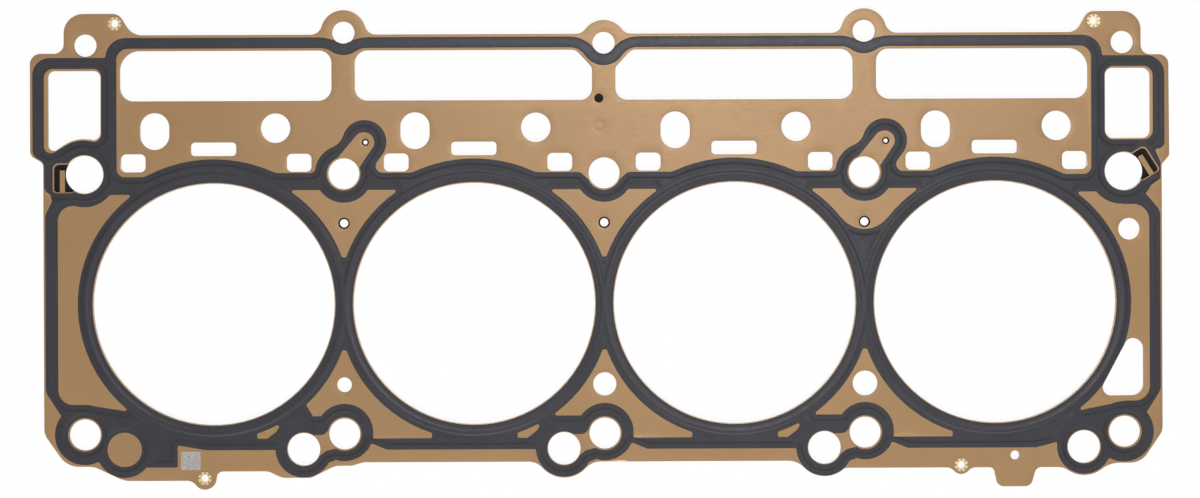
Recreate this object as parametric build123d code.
# Multi-layer steel cylinder head gasket for one bank of a V8.
# Millimetres. X runs along the row of bores, Y towards the tappet windows, Z up from the deck face.
# The origin is on the deck face, halfway along the row of bores.
import os
from math import cos, radians, sin, sqrt

from build123d import *

os.makedirs("parts", exist_ok=True)

# ---- engine dimensions that drive the gasket ----
pitch = 113.28                      # bore to bore, 4.46 in
bore_r = 52.5
bolt_y = pitch / 2                  # the head bolts stand on a square grid of one pitch
end_bolt_x = 2 * pitch - 0.36       # the outermost bolts and dowels sit a little inside the grid
bolt_hole_r = 6.75                  # M12 head bolts
dowel_hole_r = 8.2
ear_hole_r = 4.87                   # M8 outer bolts
hole_step = 0.35                    # the beaded layers' bolt holes are this much wider in radius
vent_hole_r = 7.1                   # the second row of holes beside the lower bolts
vent_offset = 17.74                 # from the bolt to the left end's side
high_ear = (pitch, bolt_y + 61.36)
middle_ear = (0.0, bolt_y + 56.56)
end_ear = (end_bolt_x - 0.6, bolt_y + 56.16)

bores = [(i - 1.5) * pitch for i in range(4)]
inner_bolts = [-pitch, 0.0, pitch]
vent_y = -bolt_y - 6.56
vents = [x - vent_offset for x in (*inner_bolts, end_bolt_x)]

# ---- sheet stack ----
active_t = 0.25                     # each beaded outer layer
middle_t = 0.50
print_t = 0.05                      # screen-printed elastomer
bead_h = 0.20
z_lower = print_t
z_middle = z_lower + active_t
z_upper = z_middle + middle_t
z_upper_print = z_upper + active_t
stack_t = z_upper_print + print_t

# ---- full bead round each bore ----
bead_r = bore_r + 3.65
bead_foot = 2.7                     # width where it leaves the sheet
bead_crest = 1.1                    # width of its flat crest; neighbours run together between the bores

# ---- elastomer print ----
ring_r = pitch / 2 + 2.66           # outside of the print round each bore; neighbours run together
rim = 0.45                          # bare steel left round each bore
print_gap = 0.3                     # bare steel round every other hole that the print surrounds
print_corner_r = 0.7                # no corner of the print is sharper than this

# ---- eyelets that hold the layers together ----
eyelet_bore_r = 1.55
eyelet_barrel_r = 2.0
eyelet_flange_r = 2.9
eyelet_flange_t = 0.25
eyelet_clearance = 0.05
petals = 8
petal_gap = 0.55
eyelets = {
    "eyelet_upper_left": (-end_bolt_x + 13.5, bolt_y + 65.66),
    "eyelet_upper_right": (end_bolt_x - 13.0, bolt_y + 65.46),
    "eyelet_lower_left": (-end_bolt_x + 52.1, -bolt_y - 19.06),
    "eyelet_lower_right": (end_bolt_x - 71.2, -bolt_y - 14.26),
}


# ---- drawing helpers ----
def outline(corners):
    """A flat face from (x, y, radius) corners, each rounded by a tangent arc."""
    corners = [(Vector(c[0], c[1]), c[2] if len(c) > 2 else 0) for c in corners]
    edges, stops = [], []
    for i, (p, r) in enumerate(corners):
        back = (corners[i - 1][0] - p).normalized()
        ahead = (corners[(i + 1) % len(corners)][0] - p).normalized()
        half = radians(back.get_angle(ahead)) / 2
        if r == 0:
            stops.append((p, p))
            continue
        leg = r * cos(half) / sin(half)
        start, end = p + back * leg, p + ahead * leg
        middle = p + (back + ahead).normalized() * (r / sin(half) - r)
        edges.append(ThreePointArc(start, middle, end))
        stops.append((start, end))
    for i in range(len(stops)):
        start, end = stops[i - 1][1], stops[i][0]
        if (end - start).length > 1e-5:
            edges.append(Line(start, end))
    return make_face(edges)


def moved(corners, x, y):
    return [(c[0] + x, c[1] + y, *c[2:]) for c in corners]


def mirrored(corners):
    """The same corners on the other side of the Y axis."""
    return [(-c[0], *c[1:]) for c in reversed(corners)]


def upper_left(*corners):
    """Corners measured from the upper left dowel; the next three do so at the other ends."""
    return moved(corners, -end_bolt_x, bolt_y)


def upper_right(*corners):
    return moved(corners, end_bolt_x, bolt_y)


def lower_left(*corners):
    return moved(corners, -end_bolt_x, -bolt_y)


def lower_right(*corners):
    return moved(corners, end_bolt_x, -bolt_y)


def crossing(p, d, q, e):
    """Where the line through p along d meets the line through q along e."""
    s = ((q.X - p.X) * e.Y - (q.Y - p.Y) * e.X) / (d.X * e.Y - d.Y * e.X)
    return p + d * s


def lobe(x, y, head, bases, feet, side=1):
    """Three corners of a bump concentric with (x, y) that grows from two base lines.

    bases and feet hold the base height and foot radius before and after the bump, left to right;
    side is 1 for a bump that points up and -1 for one that points down.
    """
    centre, tangents, corners = Vector(x, y), [], []
    for way, base, foot in zip((-1, 1), bases, feet):
        rise = base + side * foot - y
        toward = Vector(way * sqrt((head + foot) ** 2 - rise**2), rise).normalized()
        touch = centre + toward * head
        tangent = Vector(-toward.Y, toward.X)
        corner = crossing(touch, tangent, Vector(0, base), Vector(1, 0))
        corners.append((corner.X, corner.Y, foot))
        tangents.append((touch, tangent))
    top = crossing(*tangents[0], *tangents[1])
    return [corners[0], (top.X, top.Y, head), corners[1]]


def hole(x, y, r):
    return Pos(x, y) * Circle(r)


def rounded_box(x, y, width, height, r):
    return Pos(x, y) * RectangleRounded(width, height, r)


# ---- sheet outline, clockwise from the upper left ----
top_y = bolt_y + 60.56
floor_y = -bolt_y - 12.31
right_floor_y = -bolt_y - 15.46


def lower_lobe(place, head, bases, feet):
    """A bump on the lower edge, right to left."""
    return reversed(lobe(*place, head, bases, feet, -1))


sheet_corners = [
    *upper_left(
        (-23.5, 8.36, 3.5),
        (-23.5, 52.66, 4.6),
        (-8.8, 52.66, 4.2),
        (-8.8, 69.96, 8.5),
        (15.1, 69.96, 4.5),
        (21.0, top_y - bolt_y, 8.0),
    ),
    *lobe(-high_ear[0], high_ear[1], 9.85, (top_y, top_y), (5, 5)),
    *lobe(*middle_ear, 10.0, (top_y, top_y), (5, 5)),
    *lobe(*high_ear, 9.85, (top_y, top_y), (5, 5)),
    *upper_right(
        (-20.6, top_y - bolt_y, 6.0),
        (-15.4, 69.66, 4.2),
        (7.5, 69.66, 8.0),
        (7.5, 50.76, 4.0),
        (19.5, 50.76, 4.2),
        (19.8, 6.76, 2.5),
        (16.5, 2.96, 2.0),
    ),
    *lower_right((16.5, 0.24, 6.0), (7.1, -13.66, 9.0)),
    *lower_lobe((vents[3], vent_y), 12.4, (right_floor_y, -bolt_y - 13.66), (8, 13)),
    *lower_right(
        (-38.5, right_floor_y + bolt_y, 3.0),
        (-40.9, -23.76, 3.4),
        (-55.3, -23.76, 3.2),
        (-57.0, right_floor_y + bolt_y, 2.5),
    ),
    *lower_lobe(eyelets["eyelet_lower_right"], 4.1, (right_floor_y,) * 2, (4.5, 4.5)),
    *lower_lobe((vents[2], vent_y), 12.5, (floor_y, right_floor_y), (9.5, 3.5)),
    *lower_lobe((vents[1], vent_y), 12.7, (floor_y, floor_y), (8, 9)),
    (-pitch + 8.28, floor_y, 6.0),
    (-pitch + 3.28, floor_y - 1.45, 6.0),
    (-pitch - 4.22, floor_y - 1.55, 8.0),
    (-pitch - 14.52, floor_y - 6.7, 5.0),
    (-pitch - 27.22, floor_y - 6.7, 8.0),
    (-pitch - 33.22, floor_y - 3.8, 6.0),
    *lower_lobe(eyelets["eyelet_lower_left"], 4.95, (floor_y - 7.8, floor_y - 3.8), (5, 3)),
    *lower_left(
        (17.1, -20.11, 12.0),
        (3.9, -13.86, 10.0),
        (-7.8, -13.86, 10.0),
        (-17.8, 0.24, 8.0),
    ),
    *upper_left((-17.8, 4.96, 3.0)),
]

# ---- openings shared by every layer ----
window_foot = bolt_y + 31.81
window_top = bolt_y + 53.7
end_window_corners = [
    (-end_bolt_x + 15.6, window_foot, 6.0),
    (-end_bolt_x + 15.6, window_top, 8.6),
    (-pitch - 5.22, window_top, 5.5),
    (-pitch - 5.22, window_foot, 5.7),
]
inner_window_corners = [
    (-pitch + 4.88, window_foot, 5.6),
    (-pitch + 4.88, window_top, 5.6),
    (-12.2, window_top, 4.5),
    (-5.1, window_top - 7.7, 3.0),
    (-5.1, window_foot, 5.2),
]
chain_window_left = upper_left(
    (-15.7, 45.11, 2.8),
    (7.2, 45.11, 3.0),
    (7.1, 14.46, 3.0),
    (-3.4, 16.56, 15.6),
    (-15.7, 8.36, 2.4),
)
chain_window_right = upper_right(
    (-8.1, 44.96, 3.2),
    (11.5, 44.96, 3.5),
    (11.5, 14.46, 3.2),
    (-8.1, 14.46, 3.5),
)
corner_drain = lower_right(
    (1.4, 40.54, 3.6),
    (8.25, 40.54, 4.6),
    (8.25, 15.74, 5.0),
    (-11.9, 15.54, 3.6),
)
port_squares = [(-35.0, 37.2), (-33.8, 37.4), (-37.4, 37.5), (-33.3, 34.8)]   # from each bore's centre
steam_x = 9.4                       # from the bolt to the steam hole beside it


def windows():
    """The large openings."""
    shapes = [end_window_corners, mirrored(end_window_corners), inner_window_corners]
    shapes += [mirrored(inner_window_corners), chain_window_left, chain_window_right, corner_drain]
    return [outline(s) for s in shapes]


def oil_ports():
    """The row of ports above each bore."""
    ports = []
    for bore, squares in zip(bores, port_squares):
        ports.append(hole(bore + 27.0, bolt_y + 19.96, 6.43))
        ports.append(rounded_box(bore - 25.6, bolt_y + 18.66, 12.75, 16.0, 6.3))
        ports.append(rounded_box(bore, bolt_y + 10.86, 19.75, 5.9, 1.75))
        ports += [rounded_box(bore + x, bolt_y + 4.86, 10.8, 7.85, 2.3) for x in squares]
    return ports


def bolt_holes(step):
    """Bolt and vent holes; step widens the bolt holes."""
    holes = [hole(x, bolt_y, bolt_hole_r + step) for x in inner_bolts]
    holes += [hole(x, -bolt_y, bolt_hole_r + step) for x in (-end_bolt_x, *inner_bolts, end_bolt_x)]
    holes += [hole(x, bolt_y, dowel_hole_r) for x in (-end_bolt_x, end_bolt_x)]
    holes += [hole(x, vent_y, vent_hole_r) for x in vents]
    ears = [(-end_ear[0], end_ear[1]), end_ear, (-high_ear[0], high_ear[1]), high_ear]
    holes += [hole(*p, ear_hole_r + step) for p in ears]
    return holes + [hole(*middle_ear, ear_hole_r)]


def coolant_holes(jet_r, steam_r):
    """Metering holes between and beside the bores; the jets differ from layer to layer."""
    holes = [hole(x, -bolt_y + 21.44, r) for x, r in zip(inner_bolts, (3.2, 5.05, 5.4))]
    holes += [hole(end_bolt_x + 2.2, bolt_y - 25.14, 4.7), hole(end_bolt_x - 47.8, -bolt_y - 10.16, 1.95)]
    holes += [hole(x, bolt_y - 21.54, jet_r) for x in inner_bolts]
    return holes + [hole(x + steam_x, bolt_y + 13.66, steam_r) for x in (-pitch, pitch)]


def eyelet_holes():
    return [hole(*p, eyelet_barrel_r + eyelet_clearance) for p in eyelets.values()]


# ---- sprung tongues that grip the locating dowels ----
pocket_reach = 13.8                 # from the dowel's centre to the far side of the pocket
pocket_top, pocket_foot = 5.0, -8.2
pocket_lip = 0.6                    # how far the pocket's edge stands back from the slot
tongue_w = 2.2
tongue_slot_top = 2.5               # slot beyond the tongue's free end
dowel_play = 0.3                    # tongue to dowel hole
right_dowel_turn = 32.0


def pocket():
    """Opening in the upper layer over the tongue, in the dowel's own frame."""
    return outline([
        (-pocket_reach, pocket_foot, 1.6),
        (-pocket_reach, pocket_top, 2.6),
        (-2.0, pocket_top),
        (-2.0, pocket_foot + 2.5),
        (-5.2, pocket_foot),
    ])


def tongue_slot():
    """Opening in the middle layer that frees the tongue on three sides."""
    slot_x, slot_foot, slot_top = pocket_lip - pocket_reach, pocket_foot + pocket_lip, pocket_top - pocket_lip
    outer = outline([
        (slot_x, slot_foot, 1.3),
        (slot_x, slot_top, 2.2),
        (-2.0, slot_top),
        (-2.0, slot_foot + 2.4),
        (-5.4, slot_foot),
    ])
    tongue_x = -dowel_hole_r - dowel_play - tongue_w / 2
    tongue_top = slot_top - tongue_slot_top
    length = tongue_top - pocket_foot
    return outer - rounded_box(tongue_x, tongue_top - length / 2, tongue_w, length, 0.4)


def at_dowels(shape):
    """A shape drawn for the left dowel, placed at both."""
    left = Pos(-end_bolt_x, bolt_y) * shape
    right = Pos(end_bolt_x, bolt_y) * Rot(Z=right_dowel_turn) * mirror(shape, Plane.YZ)
    return [left, right]


# ---- bare fields inside the print ----
field_x = end_bolt_x - 14.1
field_top = bolt_y + 54.71
field_floor = bolt_y + 0.36
field_end_floor = bolt_y - 1.24
crest_r = field_floor + 6.1         # the print over each bore rises to this radius
loop = [                            # the print's way round a bolt and its steam hole, from the bolt
    (-12.7, 0.36, 2.2),
    (-11.2, 9.04, 12.4),
    (-1.3, 13.05, 7.9),
    (2.0, 23.3, 9.5),
    (18.6, 23.3, 9.5),
    (18.6, 10.7, 9.0),
    (10.9, 0.36, 3.0),
]
loop_inside = [
    (-5.6, 3.4),
    (6.6, 18.0, 4.3),
    (13.3, 18.0, 4.3),
    (13.3, 12.3, 4.0),
    (5.5, 0.7),
]
bolt_bridge = [                     # bare steel between a lower bolt hole and its neighbour
    (-15.2, -0.4),
    (-9.0, -0.3, 3.0),
    (-5.2, 3.6),
    (-2.5, -5.9),
    (-8.2, -7.4, 3.0),
    (-13.2, -11.4),
]
notch = [(9.0, -9.36), (11.6, -3.96, 1.0), (18.5, -6.86)]
chain_bare_left = upper_left(
    (-17.5, 46.06, 4.0),
    (7.5, 46.06, 3.4),
    (7.4, 13.66, 3.2),
    (-3.4, 15.56, 14.7),
    (-17.5, 6.96, 3.0),
)
chain_bare_right = upper_right(
    (-8.3, 45.76, 3.8),
    (12.7, 45.76, 4.2),
    (12.7, 13.76, 4.0),
    (-8.3, 13.76, 3.8),
)
end_disc = (-end_bolt_x + 17.2, vent_y)   # an unpierced spot, where the right end has a hole
end_disc_r = 7.5


def over_bore(i):
    """The field's lower edge over one bore, left to right."""
    left = field_end_floor if i == 0 else field_floor
    right = field_end_floor if i == 3 else field_floor
    return lobe(bores[i], 0, crest_r, (left, right), (6, 6))


def tappet_field():
    """The wide bare field that holds the windows and the oil ports."""
    ears = [(-high_ear[0], high_ear[1]), middle_ear, high_ear]
    dips = [c for e in ears for c in lobe(*e, 9.7, (field_top,) * 2, (8, 8), -1)]
    dip_y = field_floor - 5.2
    at_middle_bolt = [(-10.3, field_floor, 3.0), (-4.6, dip_y), (4.6, dip_y), (10.3, field_floor, 3.0)]
    edge = [
        *over_bore(0),
        *moved(loop, -pitch, bolt_y),
        *over_bore(1),
        *at_middle_bolt,
        *over_bore(2),
        *moved(loop, pitch, bolt_y),
        *over_bore(3),
    ]
    return outline([
        (-field_x, field_end_floor, 3.5),
        (-field_x, field_top, 5.0),
        *dips,
        (field_x, field_top, 5.0),
        (field_x, field_end_floor, 3.5),
        *reversed(edge),
    ])


def bare_fields():
    """Every spot inside the print where the steel is bare."""
    fields = [tappet_field(), outline(chain_bare_left), outline(chain_bare_right), hole(*end_disc, end_disc_r)]
    fields += [outline(moved(loop_inside, x, bolt_y)) for x in (-pitch, pitch)]
    fields += [outline(moved(shape, x, -bolt_y)) for shape in (bolt_bridge, notch) for x in inner_bolts]
    return fields


# ---- where the print lies ----
band_top = bolt_y + 59.36
side_top = bolt_y - 7.04            # lower edge of the print across the upper bolts
strip_top = -bolt_y - 1.96
strip_foot = -bolt_y - 6.81
bridge_apex = 20.2                  # how far the print reaches between two bores
bridge_strip = 2.6
foot_web = 37.2                     # width of the web under each bore
upper_print_corners = [
    *upper_left((9.4, side_top - bolt_y), (9.4, band_top - bolt_y, 8.8)),
    *lobe(-high_ear[0], high_ear[1], 4.7, (band_top, band_top), (20, 20), -1),
    *lobe(*middle_ear, 4.7, (band_top, band_top), (14, 14), -1),
    *lobe(*high_ear, 4.7, (band_top, band_top), (20, 20), -1),
    *upper_right((-9.4, band_top - bolt_y, 8.8), (-9.4, side_top - bolt_y)),
]
left_frame = upper_left(
    (-22.4, 8.36, 4.0),
    (-22.4, 50.76, 7.5),
    (12.2, 50.76),
    (12.2, -8.84),
    (-17.4, -8.84, 4.0),
    (-17.4, 5.26, 3.0),
)
right_frame = upper_right(
    (-12.2, -8.84),
    (-12.2, 50.36),
    (17.7, 50.36, 8.0),
    (17.7, 10.16, 3.0),
    (13.4, 9.56, 0.8),
    (16.0, 3.86, 2.0),
    (16.1, -3.14, 2.5),
    (8.2, -8.64, 1.0),
)
left_web = upper_left((9.2, -8.84), (9.2, -0.64), (26.2, -0.64), (26.2, -8.84))
left_side = [
    *upper_left((-15.2, -6.64), (-14.0, -11.64, 0.8), (-17.0, -17.64, 5.0)),
    *lower_left((-17.0, 18.64, 6.0), (-10.2, 8.14), (0.2, 6.64), (0.2, 13.04, 2.0), (-11.6, 13.04, 6.5)),
    *upper_left((-11.6, -13.64, 6.5), (0.2, -13.64), (0.2, -6.64)),
]
right_side = [
    *upper_right((-0.2, -14.34), (11.0, -14.34, 7.0)),
    *lower_right((11.0, 13.34, 6.5), (-0.2, 13.34), (-0.2, 6.64), (9.8, 8.84, 1.0), (15.7, 18.14, 6.0)),
    *upper_right((15.7, -17.14, 6.0), (8.8, -9.14, 1.0), (-0.2, -7.64)),
]
left_foot = lower_left(
    (0.2, 13.04),
    (17.8, 10.24),
    (46.2, -0.86),
    (46.2, -3.36),
    (40.3, -4.36),
    (40.3, -14.26),
    (17.2, -14.26),
    (0.2, -3.36),
)
right_foot = lower_right(
    (-0.2, 13.04),
    (-17.2, 9.74),
    (-46.2, -0.86),
    (-56.2, -6.81),
    (-38.2, -6.81, 30.0),
    (-28.7, -4.16),
    (-0.2, -3.36),
)
strip = [
    *lower_left((36.2, -1.96)),
    *lower_right((-36.2, -1.96), (-38.2, -6.81)),
    *lower_left((52.7, -6.81, 20.0), (36.2, -3.96)),
]
first_web = [(-17.22, 13.44), (-13.92, 7.94), (-13.92, 4.64), (-23.72, 4.64), (-23.72, 9.64)]
bridge_web = [(-10.3, -20.14), (10.3, -20.14), (6.8, -38.64), (-6.8, -38.64)]
bolt_web = [
    (-34.0, -2.16),
    (-29.6, 1.2, 3.0),
    (-27.6, 4.8),
    (-24.0, 7.74),
    (-6.0, 7.74),
    (-4.5, -11.56),
    (-14.0, -14.66),
    (-24.0, -5.36),
]


def sealing_print():
    """Everything the print covers before its openings: a union of rings, pads and strips."""
    shape = Sketch() + outline(upper_print_corners)
    blocks = [left_frame, right_frame, left_web, mirrored(left_web), left_side, right_side]
    blocks += [left_foot, right_foot, strip, moved(first_web, -pitch, -bolt_y)]
    blocks += [moved(bolt_web, x, -bolt_y) for x in inner_bolts]
    shape += [outline(block) for block in blocks]
    shape += outline(moved(bridge_web, pitch, bolt_y)) - hole(pitch, bolt_y - 12.34, 12.5)
    shape += [Pos(x, 0) * Rectangle(bridge_strip, 2 * bridge_apex) for x in inner_bolts]
    web_y = (strip_top - bore_r) / 2 - 1
    shape += [Pos(x, web_y) * Rectangle(foot_web, -bore_r - strip_top) for x in bores]
    shape += [hole(x, 0, ring_r) for x in bores]
    shape += [hole(x, bolt_y, 12.6) for x in inner_bolts]
    shape += [hole(x, bolt_y, 14.2) for x in (-end_bolt_x, end_bolt_x - 1.0)]
    shape += [hole(x, -bolt_y + 0.69, 12.45) for x in inner_bolts]
    shape += [hole(x, -bolt_y, 13.1) for x in (-end_bolt_x, end_bolt_x - 0.5)]
    shape += [hole(x, vent_y, 12.3) for x in vents[:3]]
    return shape + [hole(*end_disc, 12.2), hole(vents[3], vent_y, 11.8)]


def rounded(face):
    """Closes and then opens the print's outline, which rounds its inner and its outer corners."""
    for grow in (print_corner_r, -2 * print_corner_r, print_corner_r):
        face = offset(face, grow)
    return face


# ---- faces of the layers ----
blind_hole = (-2.16, bolt_y + 32.58, 1.96)   # stops at the lower layer
dimple = (-2.12, bolt_y + 20.65, 2.05)
dimple_depth = 0.08


def sheet(jet_r, steam_r, step=0.0):
    """A layer's outline with every opening that goes through the gasket."""
    face = outline(sheet_corners) - windows()
    face -= [hole(x, 0, bore_r) for x in bores]
    return face - (oil_ports() + bolt_holes(step) + coolant_holes(jet_r, steam_r) + eyelet_holes())


def printed():
    face = rounded((sealing_print() - bare_fields()).face())
    face -= [hole(x, 0, bore_r + rim) for x in bores]
    bolt_clear = bolt_hole_r + hole_step + print_gap
    face -= [hole(x, -bolt_y, bolt_clear) for x in (-end_bolt_x, *inner_bolts, end_bolt_x)]
    face -= [hole(x, bolt_y, bolt_clear) for x in inner_bolts]
    face -= [hole(x, bolt_y, dowel_hole_r + print_gap) for x in (-end_bolt_x, end_bolt_x)]
    return face - [hole(x, vent_y, vent_hole_r + print_gap) for x in vents] - outline(corner_drain)


def bead_rings(z, way):
    """The full beads as solids, standing on z upwards (way 1) or hanging from it (way -1)."""
    half_foot, half_crest = bead_foot / 2, bead_crest / 2
    profile = [
        (bead_r - half_foot, z),
        (bead_r + half_foot, z),
        (bead_r + half_crest, z + way * bead_h),
        (bead_r - half_crest, z + way * bead_h),
    ]
    ring = revolve(Plane.XZ * make_face(Polyline(*profile, close=True)), Axis.Z)
    rings = Pos(bores[0], 0, 0) * ring
    return rings + [Pos(x, 0, 0) * ring for x in bores[1:]]


def slab(face, z, thickness):
    return Pos(0, 0, z) * extrude(face, thickness, dir=(0, 0, 1))


def embossed(face, z, thickness, way):
    """A sheet whose beads stand out on one side and are hollow on the other."""
    outer, inner = (z + thickness, z) if way == 1 else (z, z + thickness)
    return slab(face, z, thickness) + bead_rings(outer, way) - bead_rings(inner, way)


def eyelet(x, y):
    """A tubular rivet rolled over below and split into petals above."""
    foot, head = z_lower - eyelet_flange_t, z_upper_print + eyelet_flange_t
    profile = [
        (eyelet_bore_r, foot),
        (eyelet_flange_r, foot),
        (eyelet_flange_r, z_lower),
        (eyelet_barrel_r, z_lower),
        (eyelet_barrel_r, z_upper_print),
        (eyelet_flange_r, z_upper_print),
        (eyelet_flange_r, head),
        (eyelet_bore_r, head),
    ]
    rivet = revolve(Plane.XZ * make_face(Polyline(*profile, close=True)), Axis.Z)
    gap_box = Box(eyelet_flange_r, petal_gap, eyelet_flange_t, align=(Align.MIN, Align.CENTER, Align.MIN))
    rivet -= [Pos(0, 0, z_upper_print) * place * gap_box for place in PolarLocations(eyelet_barrel_r, petals)]
    return Pos(x, y, 0) * rivet


# ---- the pieces ----
pockets = at_dowels(pocket())
blind = hole(*blind_hole)

upper_layer = embossed(sheet(2.5, 1.55, hole_step) - pockets - blind, z_upper, active_t, 1)
upper_layer -= slab(hole(*dimple), z_upper_print - dimple_depth, dimple_depth)
middle_layer = slab(sheet(2.5, 1.55) - at_dowels(tongue_slot()) - blind, z_middle, middle_t)
lower_layer = embossed(sheet(1.8, 0.9, hole_step), z_lower, active_t, -1)

pieces = {
    "upper_layer": upper_layer,
    "upper_print": embossed(printed() - pockets, z_upper_print, print_t, 1),
    "middle_layer": middle_layer,
    "lower_layer": lower_layer,
    "lower_print": embossed(printed(), 0, print_t, -1),
}
for name, place in eyelets.items():
    pieces[name] = eyelet(*place)

for name, shape in pieces.items():
    export_step(shape, f"parts/{name}.step")
